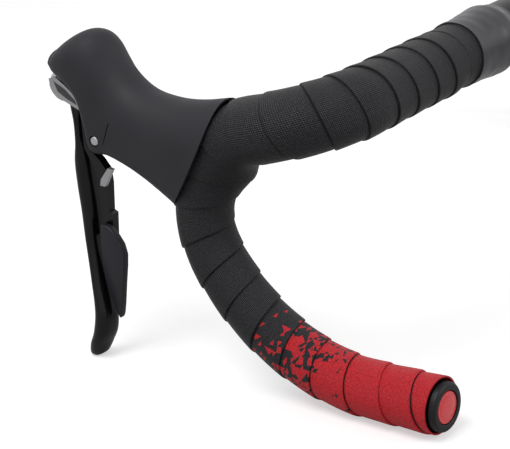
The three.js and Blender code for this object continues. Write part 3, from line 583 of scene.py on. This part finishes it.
# Across the ribbon: share of the pitch, and how far the skin dips under its plain height
RIBBON_PROFILE = [(-0.10, 0.1), (-0.03, 0.1), (0.02, 0.06), (0.06, 0.0), (0.2, 0.0), (0.35, 0.0),
                  (0.5, 0.0), (0.65, 0.0), (0.8, 0.0), (0.9, 0.0), (0.945, 0.03), (0.968, 0.12),
                  (0.98, 0.3), (0.985, 0.6), (0.985, 1.6)]
# Extra thickness, place along the bar and reach, in mm
PADDING = (2.4, HOOK_START - 10, 38)
WEB = (7.5, HOOK_START + 33, 19)
WEB_SIDE = math.radians(150)      # where round the bar the web is thickest
CABLE_RIDGE = 1.5
CABLE_SIDE = math.radians(240)
SEAM_WANDER = ((0.25, 2.3), (0.2, 7.1))         # mm, and radians in one turn
EDGE_RIPPLE = 0.10                # mm


def swelling(s, height, place, reach):
    return height * math.exp(-(((s - place) / reach) ** 2))


def tape_thickness(s, angle, share):
    free = s_step(s, BAND_OUTER + TAPE_PITCH / 2, BAND_OUTER + TAPE_PITCH)
    wound = TAPE_PRESSED + (TAPE_LOW + (TAPE_HIGH - TAPE_LOW) * share - TAPE_PRESSED) * free
    bridging = max(0, math.cos(angle - WEB_SIDE)) ** 2
    on_top = free * (1 - s_step(s, CORNER_START, RAMP_START))
    ridge = CABLE_RIDGE * max(0, math.cos(angle - CABLE_SIDE)) ** 6
    return wound + swelling(s, *PADDING) + swelling(s, *WEB) * bridging + ridge * on_top


def wind_place(turns_wound):
    low = max(i for i, (turn, place) in enumerate(WINDING[:-1]) if turn <= max(turns_wound, 0))
    (turn_a, place_a), (turn_b, place_b) = WINDING[low:low + 2]
    return place_a + (place_b - place_a) * (turns_wound - turn_a) / (turn_b - turn_a)


columns = TAPE_TURNS * RIBBON_STEPS
rows = len(RIBBON_PROFILE) - 1
tape = add_grid("tape", columns, rows)
length_wound = [0.0]
for i in range(columns):
    s = min(wind_place(i / RIBBON_STEPS), BAR_END)
    length_wound.append(length_wound[-1] + 2 * math.pi * (bar_radius(s) + TAPE_HIGH) / RIBBON_STEPS)
map_places = {}
for vertex in tape.data.vertices:
    i = round((vertex.co.x + 0.5) * columns)
    k = round((vertex.co.y + 0.5) * rows)
    share, dip = RIBBON_PROFILE[k]
    turn = i / RIBBON_STEPS
    s = wind_place(turn + share)
    angle = 2 * math.pi * turn
    wander = sum(size * math.sin(turn * rate) for size, rate in SEAM_WANDER)
    ripple = EDGE_RIPPLE * math.sin(angle * 3 + turn) * max(share, 0)
    lift = tape_thickness(s, angle, max(share, 0)) - dip + ripple
    vertex.co = on_bar(s + wander, angle, bar_radius(s) + lift)
    map_places[vertex.index] = (length_wound[i] * MM, share * TAPE_PITCH * MM, wind_place(turn) * MM)

ribbon_map = tape.data.uv_layers.active or tape.data.uv_layers.new()
ribbon_map.name = "ribbon"
tape.data.uv_layers.new(name="along_bar")
for loop in tape.data.loops:
    u, v, s = map_places[loop.vertex_index]
    tape.data.uv_layers["ribbon"].data[loop.index].uv = (u, v)
    tape.data.uv_layers["along_bar"].data[loop.index].uv = (s, v)

# %% [markdown]
# The ribbon is cut off square at the plug and under the finishing band. Bisect does both, and clears the
# side beyond. The faces are turned outwards before they get their thickness.

# %% Trim the ribbon
end_point, end_along, end_upper = bar_frame(BAR_END)
TRIM_PLANES = ((placed(*end_point), end_along),
               (placed(-TAPE_INNER_END, 0, 0), Vector((1, 0, 0))))

only(tape)
bpy.ops.object.mode_set(mode="EDIT")
for plane_point, plane_normal in TRIM_PLANES:
    bpy.ops.mesh.select_all(action="SELECT")
    bpy.ops.mesh.bisect(plane_co=plane_point, plane_no=plane_normal, clear_outer=True)
bpy.ops.mesh.select_all(action="SELECT")
bpy.ops.mesh.normals_make_consistent(inside=False)
bpy.ops.object.mode_set(mode="OBJECT")
top_of_tape = on_bar(150, 0, 17.5)
top_face = min(tape.data.polygons, key=lambda face: (face.center - top_of_tape).length)
if top_face.normal.z < 0:
    tape.data.flip_normals()
apply_modifier(tape, "SOLIDIFY", thickness=TAPE_SKIN * MM, offset=-1)
bpy.ops.object.shade_smooth_by_angle(angle=math.radians(50))
print("tape faces:", len(tape.data.polygons))
both_sides(tape, "wound_tape", "embossed_polyurethane_tape", "bar", "bar_tape_{}")

# %% [markdown]
# ## The finishing band
# A strip of vinyl film holds the tape's end down. It is pulled tight, so it follows the step from the
# tape to the bar, with slight ripples, and its own end shows as a thin edge along the underside.

# %% Film
BAND_INNER = 59
FILM = 0.5
FILM_GAP = 0.3                    # between the bar and the film
FILM_UNDERSIDE = 0.25             # from the bar to the film's inner skin
FILM_LAP, LAP_SIDE, LAP_WIDTH = 0.22, 4.1, 1.4  # mm, and radians round the bar
FILM_SIDES = 72
FILM_RINGS = 40


def film_radius(x, angle):
    over_tape = s_step(x, BAND_INNER + 1, TAPE_INNER_END + 3)
    radius = bar_radius(x) + FILM_GAP + FILM + (TAPE_PRESSED + 0.05) * over_tape
    ripple = 0.07 * math.sin(angle * 5 + x * 0.45) + 0.05 * math.sin(angle * 3 - x * 0.8)
    lap = FILM_LAP * max(0, 1 - ((angle - LAP_SIDE) % (2 * math.pi)) / LAP_WIDTH)
    return radius + (ripple + lap) * over_tape


film_angles = [2 * math.pi * j / FILM_SIDES for j in range(FILM_SIDES)]
outer = [[on_bar(x, a, film_radius(x, a)) for a in film_angles]
         for x in steps(BAND_INNER, BAND_OUTER, FILM_RINGS)]
inner = [[on_bar(x, a, bar_radius(x) + FILM_UNDERSIDE) for a in film_angles]
         for x in (BAND_OUTER, BAND_INNER)]
film_rows = outer + inner + outer[:1]
film = add_grid("film", FILM_SIDES, len(film_rows) - 1)
for vertex in film.data.vertices:
    j = round((vertex.co.x + 0.5) * FILM_SIDES) % FILM_SIDES
    vertex.co = film_rows[round((vertex.co.y + 0.5) * (len(film_rows) - 1))][j]
tidy_mesh(film)
bpy.ops.object.shade_smooth_by_angle(angle=math.radians(35))
both_sides(film, "finishing_film", "satin_vinyl_film", "bar", "finishing_band_{}")

# %% [markdown]
# ## The end plug
# The plug is a nylon button pushed into the tube, with a round-edged flange and a recessed gloss disc.
# Both are turned shapes: their profile is a list of radii and distances out of the bar's end.

# %% Plug and disc
PLUG_SIDES = 64
PLUG_OUT = 4.1                    # how far the flange stands out of the bar
FLANGE_RADIUS = 12.0
FLANGE_ROUNDING = 1.6
# Radius, and distance out of the bar's end
PLUG_STEM = [(5, -20), (9.2, -19.4), (9.2, 0.3), (11.7, 0.3), (FLANGE_RADIUS, 0.7)]
PLUG_RECESS = [(8.7, PLUG_OUT), (8.3, PLUG_OUT - 0.35), (8.2, 2.5), (4, 2.5)]
DISC_PROFILE = [(7.9, 2.8), (7.9, 3.3), (7.7, 3.6), (7.2, 3.75), (6.9, 3.7), (6.6, 3.6), (6.3, 3.7),
                (5.0, 3.9), (3, 4.0), (1, 4.02)]


def turned_on_end(name, profile):
    side = end_along.cross(end_upper)
    rings = []
    for radius, out in profile:
        centre = end_point + end_along * out
        ring = []
        for j in range(PLUG_SIDES):
            angle = 2 * math.pi * j / PLUG_SIDES
            spoke = end_upper * radius * math.cos(angle) + side * radius * math.sin(angle)
            ring.append(placed(*(centre + spoke)))
        rings.append(ring)
    return lofted(name, rings, smooth=35)


flange_edge = [(FLANGE_RADIUS - FLANGE_ROUNDING * (1 - math.cos(a)),
                PLUG_OUT - FLANGE_ROUNDING * (1 - math.sin(a))) for a in steps(0, math.pi / 2, 6)]
plug = turned_on_end("plug", PLUG_STEM + flange_edge + PLUG_RECESS)
both_sides(plug, "bar_end_plug", "moulded_black_nylon", "bar", "end_plug_{}")
disc = turned_on_end("disc", DISC_PROFILE)
both_sides(disc, "plug_disc", "gloss_red_abs", "bar", "end_plug_cap_{}")

# %% [markdown]
# ## The hood
# The hood is a soft shell pulled over the lever's body. Its sections slant: each has a low point, a high
# point and a half width, and they are joined smoothly. The shell is made as a solid, then the space for
# the body, the lever's slot, the pin's holes and the slit of its ear flap are cut from it.

# %% Hood sections
# Low point (y, z), high point (y, z), half width, curl of the sides, squareness of the lower half
HOOD_SECTIONS = [
    (88, -54.5, 55, 2.6, 18.8, 6, 2.4), (96, -49.2, 71, -0.6, 18.4, 4, 2.4),
    (105, -43.6, 85, -1.8, 17.6, 2, 2.6), (115, -38.6, 99.5, -0.6, 16.8, 0, 3),
    (125.5, -34.4, 109, 3, 16.4, 0, 4), (134.6, -32.6, 117, 9.7, 16.2, 0, 6),
    (137.2, -20, 123, 16.8, 16.2, 0, 6), (140, -8.5, 128, 23.4, 16.2, 0, 6),
    (145.5, -2.4, 133.2, 26.7, 15.8, 0, 5), (152, 0.5, 140.8, 26.5, 15, 0, 3.5),
    (159, 3, 149.8, 22, 12.8, 0, 2.8), (164, 5.5, 158.8, 15.4, 8.6, 0, 2.5),
]
HOOD_ROUNDNESS = 2.15
HOOD_SIDES = 72
HOOD_RINGS = 88
HOOD_WALL = 1.8                   # mm
HOLLOW_REACH = (-0.33, 9)         # counted in sections: it opens at the back and stops before the nose
NOSE_BULGE = 2.2                  # mm
SLOT_HALF_WIDTH = 9.2
SLOT_OUTLINE = [(114, -64), (114, -20), (119, -9), (131, -2.5), (141, -2.5), (152, 2.4), (184, 2.4),
                (184, -64)]


def hood_ring(place, inset=0.0, shrink=1.0, forward=0.0):
    foot_y, foot_z, crown_y, crown_z, half, curl, heel = [
        spline([section[i] for section in HOOD_SECTIONS], place) for i in range(7)]
    rise = Vector((crown_y - foot_y, crown_z - foot_z))
    half_rise = (rise.length / 2 - inset) * shrink
    half_width = (half - inset) * shrink
    rise.normalize()
    ring = []
    for j in range(HOOD_SIDES):
        angle = 2 * math.pi * (j + 0.5) / HOOD_SIDES
        squareness = heel if math.cos(angle) < 0 else HOOD_ROUNDNESS
        rising, out = squared_circle(angle, half_rise, half_width, squareness)
        bend = curl * (out / half_width) ** 2
        ring.append(at_lever(out,
                             (foot_y + crown_y) / 2 + rise.x * rising - rise.y * bend + rise.y * forward,
                             (foot_z + crown_z) / 2 + rise.y * rising + rise.x * bend - rise.x * forward))
    return ring


NOSE = len(HOOD_SECTIONS) - 1
nose_rings = [hood_ring(NOSE, shrink=math.cos(a), forward=NOSE_BULGE * math.sin(a))
              for a in steps(0, 1.4, 6)[1:]]
hood = lofted("hood", [hood_ring(place) for place in steps(0, NOSE, HOOD_RINGS)] + nose_rings)
cut(hood, lofted("hollow", [hood_ring(place, inset=HOOD_WALL) for place in steps(*HOLLOW_REACH, 60)]))
cut(hood, extruded("slot", SLOT_OUTLINE, -SLOT_HALF_WIDTH, SLOT_HALF_WIDTH))
print("hood faces:", len(hood.data.polygons))

# %% [markdown]
# The pin's hole is a small cylinder across both ears, and the slit is a thin slanting blade that only
# scores the outside of each ear.

# %% Hole and slit
PIVOT_Y, PIVOT_Z = 129, -25
HOLE_RADIUS = 2.9
SLIT_OUTLINE = [(117.2, -14.0), (117.9, -13.8), (123.4, -26.3), (125.4, -35), (124.5, -35.2), (122.7, -26.5)]
SLIT_DEPTHS = ((-20, -15.9), (15.9, 20))


def turned_on_pivot(name, profile, sides, smooth):
    """The profile is a row of radii and places across the lever."""
    angles = [2 * math.pi * j / sides for j in range(sides)]
    return lofted(name, [[at_lever(x, PIVOT_Y + radius * math.cos(a), PIVOT_Z + radius * math.sin(a))
                          for a in angles] for radius, x in profile], smooth=smooth)


cut(hood, turned_on_pivot("hole", [(HOLE_RADIUS, -22), (HOLE_RADIUS, 22)], sides=32, smooth=35))
for start, end in SLIT_DEPTHS:
    cut(hood, extruded("slit", SLIT_OUTLINE, start, end))
only(hood)
bpy.ops.object.shade_smooth_by_angle(angle=math.radians(38))
both_sides(hood, "lever_hood", "moulded_tpe_rubber", "bar", "lever_hood_{}")

# %% [markdown]
# ## The pin
# The lever turns on a steel pin. Its plain rounded end, with a slight dimple, shows in the ear of the hood.

# %% Pivot pin
PIN_PROFILE = [(0.9, -15.9), (1.3, -16.0), (2.0, -15.9), (2.35, -15.6), (2.4, -15.1), (2.4, 15.1),
               (2.35, 15.6), (2.0, 15.9), (1.3, 16.0), (0.9, 15.9)]

pin = turned_on_pivot("pin", PIN_PROFILE, sides=36, smooth=30)
both_sides(pin, "pin", "zinc_plated_steel", "bar", "pivot_pin_{}")

# %% [markdown]
# ## The blade
# The lever's blade is a forged arm, painted gloss black, with a full front, a flatter back and a flick at
# its tip. Level sections are joined smoothly, and smaller copies of the end ones round its top and tip.

# %% Blade
# Height, front, back, middle, half width
BLADE_SECTIONS = [
    (-5, 153.8, 144.6, 0, 7.2), (-12, 153, 143.7, 0, 8.4), (-20, 150.4, 143.7, -1, 8.4),
    (-30, 150, 143.7, -1.8, 8.2), (-41, 152, 142.6, -2.6, 7.8), (-54, 150.9, 141, -3.8, 7.6),
    (-66, 148.7, 139.8, -5, 7.5), (-80, 146.5, 139.2, -6.6, 7.3), (-94, 143.9, 137.2, -8.4, 7.2),
    (-104, 142.1, 135.4, -9.8, 7.2), (-113, 140.8, 133.2, -11, 7.2), (-121, 140.6, 131.6, -12, 7.2),
    (-130, 142.4, 132.2, -12.6, 7.2), (-137, 145.6, 135.6, -12.6, 6.8), (-142.8, 147.2, 139.2, -12.2, 5.6),
    (-144.8, 146, 141.8, -11.8, 3.8),
]


def level_ring(sections, place, sides, squareness, shrink=1.0):
    z, front, rear, middle, half = [spline([section[i] for section in sections], place) for i in range(5)]
    ring = []
    for j in range(sides):
        angle = 2 * math.pi * (j + 0.5) / sides
        forward, out = squared_circle(angle, (front - rear) / 2 * shrink, half * shrink, squareness)
        ring.append(at_lever(middle + out, (front + rear) / 2 + forward, z))
    return ring


def level_loft(name, sections, sides, squareness, count, top_shrinks, tip_shrink):
    last = len(sections) - 1
    rings = [level_ring(sections, 0, sides, squareness, shrink) for shrink in top_shrinks]
    rings += [level_ring(sections, place, sides, squareness) for place in steps(0, last, count)]
    rings.append(level_ring(sections, last, sides, squareness, tip_shrink))
    return lofted(name, rings)


blade = level_loft("blade", BLADE_SECTIONS, sides=40, squareness=2.3, count=90, top_shrinks=(0.8, 0.93),
                   tip_shrink=0.7)
both_sides(blade, "blade", "gloss_black_paint", "{}_blade", "brake_blade_{}")

# %% [markdown]
# ## The nose plate
# A thin plated cap closes the lever under the hood's nose and runs back along the hood's lower edge on
# both sides, so it is seen as a bright line that widens to the front.

# %% Plate
# Height, front, back, middle, half width
PLATE_SECTIONS = [(2.3, 163.6, 155.6, 0, 7.6), (-2, 165.2, 155.6, 0, 8.7), (-5.6, 163.9, 155.6, 0, 8.7),
                  (-8.6, 160.9, 155.6, 0, 8.2), (-10.6, 158.2, 155.6, 0, 6.6)]

plate = level_loft("plate", PLATE_SECTIONS, sides=48, squareness=2.8, count=24, top_shrinks=(0.85,),
                   tip_shrink=0.8)
both_sides(plate, "nose_plate", "satin_nickel_plate", "{}_lever", "name_plate_{}")

# %% [markdown]
# The cap has a thin cheek on each side of the blade. The outer one narrows to a tail behind it, with a
# darker inlay that leaves a bright rim along the hood's edge. The inner one is shorter, because the blade
# swings towards it when a gear is shifted.

# %% Cheeks and inlays
CHEEK_OUTLINE = [(162.4, 1.0), (158.5, 2.8), (151.5, -1.4), (144.4, -7.2), (141.0, -13.9), (147.6, -11.6),
                 (153.6, -9.4), (158.4, -6.2), (161.8, -2.2)]
SHORT_CHEEK_OUTLINE = [(162.4, 1.0), (158.5, 2.8), (151.5, -1.4), (148.2, -4.2), (149.4, -7.6), (153.6, -8.4),
                       (158.4, -6.2), (161.8, -2.2)]
INLAY_OUTLINE = [(159.2, 0.2), (151.9, -3.1), (145.6, -8.2), (144.6, -10.6), (151.4, -7.9), (156.8, -5.0)]
CHEEKS = (("outer", CHEEK_OUTLINE, -9.1, -8.7), ("inner", SHORT_CHEEK_OUTLINE, 8.7, 9.1))
INLAY_NEAR, INLAY_FAR = -9.16, -8.76
SHARP_EDGE = math.radians(50)     # a bevel rounds edges that turn by more than this

for face, outline, near, far in CHEEKS:
    cheek = extruded("cheek", outline, near, far)
    apply_modifier(cheek, "BEVEL", width=0.12 * MM, segments=2, limit_method="ANGLE", angle_limit=SHARP_EDGE)
    both_sides(cheek, f"plate_cheek_{face}", "satin_nickel_plate", "{}_lever", None)
inlay = extruded("inlay", INLAY_OUTLINE, INLAY_NEAR, INLAY_FAR)
both_sides(inlay, "plate_inlay", "satin_grey_paint", "{}_lever", None)

# %% [markdown]
# ## The release paddle
# Behind the blade hangs a second, smaller lever of moulded nylon. It is flat with rounded edges, so its
# outline is extruded and its edges are bevelled.

# %% Paddle
PADDLE_OUTLINE = [
    (133.8, -71), (135.2, -80), (135, -94), (134, -103), (131.6, -111), (128.3, -118.8), (126.6, -121.6),
    (125.4, -119), (124.2, -113.5), (122.4, -103), (120.3, -92), (119.5, -85.5), (120.9, -80), (124, -75.8),
    (128.6, -71.6),
]
paddle = extruded("paddle", PADDLE_OUTLINE, -12.6, -8.8)
apply_modifier(paddle, "BEVEL", width=0.7 * MM, segments=3, limit_method="ANGLE", angle_limit=SHARP_EDGE)
bpy.ops.object.shade_smooth_by_angle(angle=math.radians(40))
both_sides(paddle, "paddle", "moulded_grey_nylon", "{}_paddle", "release_paddle_{}")

# %% [markdown]
# ## The parts inside
# The lever's body, shaft, carrier, clamp and springs are shown as packed, with their own finishes.

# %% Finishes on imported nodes
INSIDE = {
    "moulded_black_nylon": ["lever_bracket"],
    "zinc_plated_steel": ["clamp_band", "clamp_bolt", "pivot_clip", "cable_anchor", "return_spring",
                          "shift_shaft"],
    "gloss_black_paint": ["lever_carrier", "paddle_arm"],
    "satin_nickel_plate": ["paddle_link"],
}
for finish, stems in INSIDE.items():
    for node_name in [f"{stem}_{side}" for stem in stems for side in ("left", "right")]:
        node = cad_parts[node_name]
        node.data.materials.clear()
        node.data.materials.append(finishes[finish])

# %% [markdown]
# ## The studio
# The object stands on white paper. The paper sends the camera part of its white straight away, so it
# looks white without more light on the object, and the rest of its colour comes from the lamps, so that
# it still shows the object's soft shadow.

# %% Floor
PAPER_SIZE = 40                   # m
PAPER_GLOW = 0.5                  # what the camera sees of the paper's own light

bpy.ops.object.select_all(action="DESELECT")
bpy.ops.mesh.primitive_plane_add(size=PAPER_SIZE, location=(0, 0, 0))
floor = bpy.context.object
floor.name = "studio_floor"
paper, tree, shader = new_material("white_paper", "#c8c8c8", 0.9)
shader.inputs["Specular IOR Level"].default_value = 0.1
output = tree.nodes["Material Output"]
rays = add_node(tree, "ShaderNodeLightPath")
own = add_node(tree, "ShaderNodeMath", {0: rays.outputs["Is Camera Ray"], 1: PAPER_GLOW},
               operation="MULTIPLY")
glow = add_node(tree, "ShaderNodeEmission", {"Color": (1, 1, 1, 1), "Strength": own.outputs[0]})
both = add_node(tree, "ShaderNodeAddShader", {0: shader.outputs["BSDF"], 1: glow.outputs["Emission"]})
tree.links.new(both.outputs["Shader"], output.inputs["Surface"])
floor.data.materials.append(paper)

# %% [markdown]
# ## The light
# A white room fills the shadows, one large lamp overhead and to the left makes the long soft highlights
# on the hood and the tape, and a weaker one from the right shows the edge of the drop.

# %% World and lamps
ROOM_LIGHT, ROOM_SEEN = 0.55, 1.0               # strength as a light, and as the camera and gloss see it
HOOD_MIDDLE = (-0.21, 0.05, 0.12)

world = bpy.data.worlds.new("white_room")
bpy.context.scene.world = world
world.use_nodes = True
tree = world.node_tree
room = tree.nodes["Background"]
rays = add_node(tree, "ShaderNodeLightPath")
seen = add_node(tree, "ShaderNodeMath", {0: rays.outputs["Is Camera Ray"], 1: rays.outputs["Is Glossy Ray"]},
                operation="MAXIMUM")
level = add_node(tree, "ShaderNodeMapRange", {
    "Value": seen.outputs[0], "To Min": ROOM_LIGHT, "To Max": ROOM_SEEN})
room.inputs["Color"].default_value = (1, 1, 1, 1)
tree.links.new(level.outputs["Result"], room.inputs["Strength"])


def add_lamp(name, place, size, power):
    lamp = bpy.data.lights.new(name, "AREA")
    lamp.shape = "DISK"
    lamp.size = size
    lamp.energy = power
    holder = bpy.data.objects.new(name, lamp)
    bpy.context.scene.collection.objects.link(holder)
    holder.location = place
    holder.rotation_euler = (Vector(HOOD_MIDDLE) - Vector(place)).to_track_quat("-Z", "Y").to_euler()


add_lamp("overhead", (-0.75, 0.1, 1.25), 0.8, 11)
add_lamp("side", (0.35, -1.1, 0.7), 0.6, 5)
bpy.context.scene.view_settings.view_transform = "Standard"
